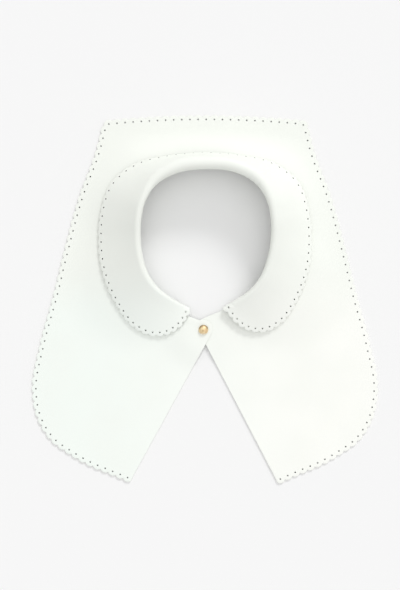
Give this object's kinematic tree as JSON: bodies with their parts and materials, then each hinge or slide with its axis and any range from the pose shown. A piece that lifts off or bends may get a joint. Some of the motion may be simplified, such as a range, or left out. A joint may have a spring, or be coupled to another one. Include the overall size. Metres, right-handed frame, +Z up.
{
  "type": "bib collar",
  "caption": "Leather bib collar with a scalloped, punched hem, a turned-down collar and a stud at the front, laid flat.",
  "frame": {"origin": "middle of the outline, on the surface that the bib lies on", "axes": "+Z up off the surface, +Y towards the back of the neck, +X to the right as seen from above with the back of the neck at the top"},
  "size_m": [0.3288, 0.3492, 0.0464],
  "materials": {
    "bib": "smooth white, slightly satin",
    "collar": "smooth white, slightly satin",
    "stud_head": "brushed pale gold",
    "stud_back": "brushed pale gold"
  },
  "bodies": {
    "root": {"bib": "bib", "collar": "collar", "stud_head": "stud_head", "stud_back": "stud_back"}
  },
  "joints": []
}
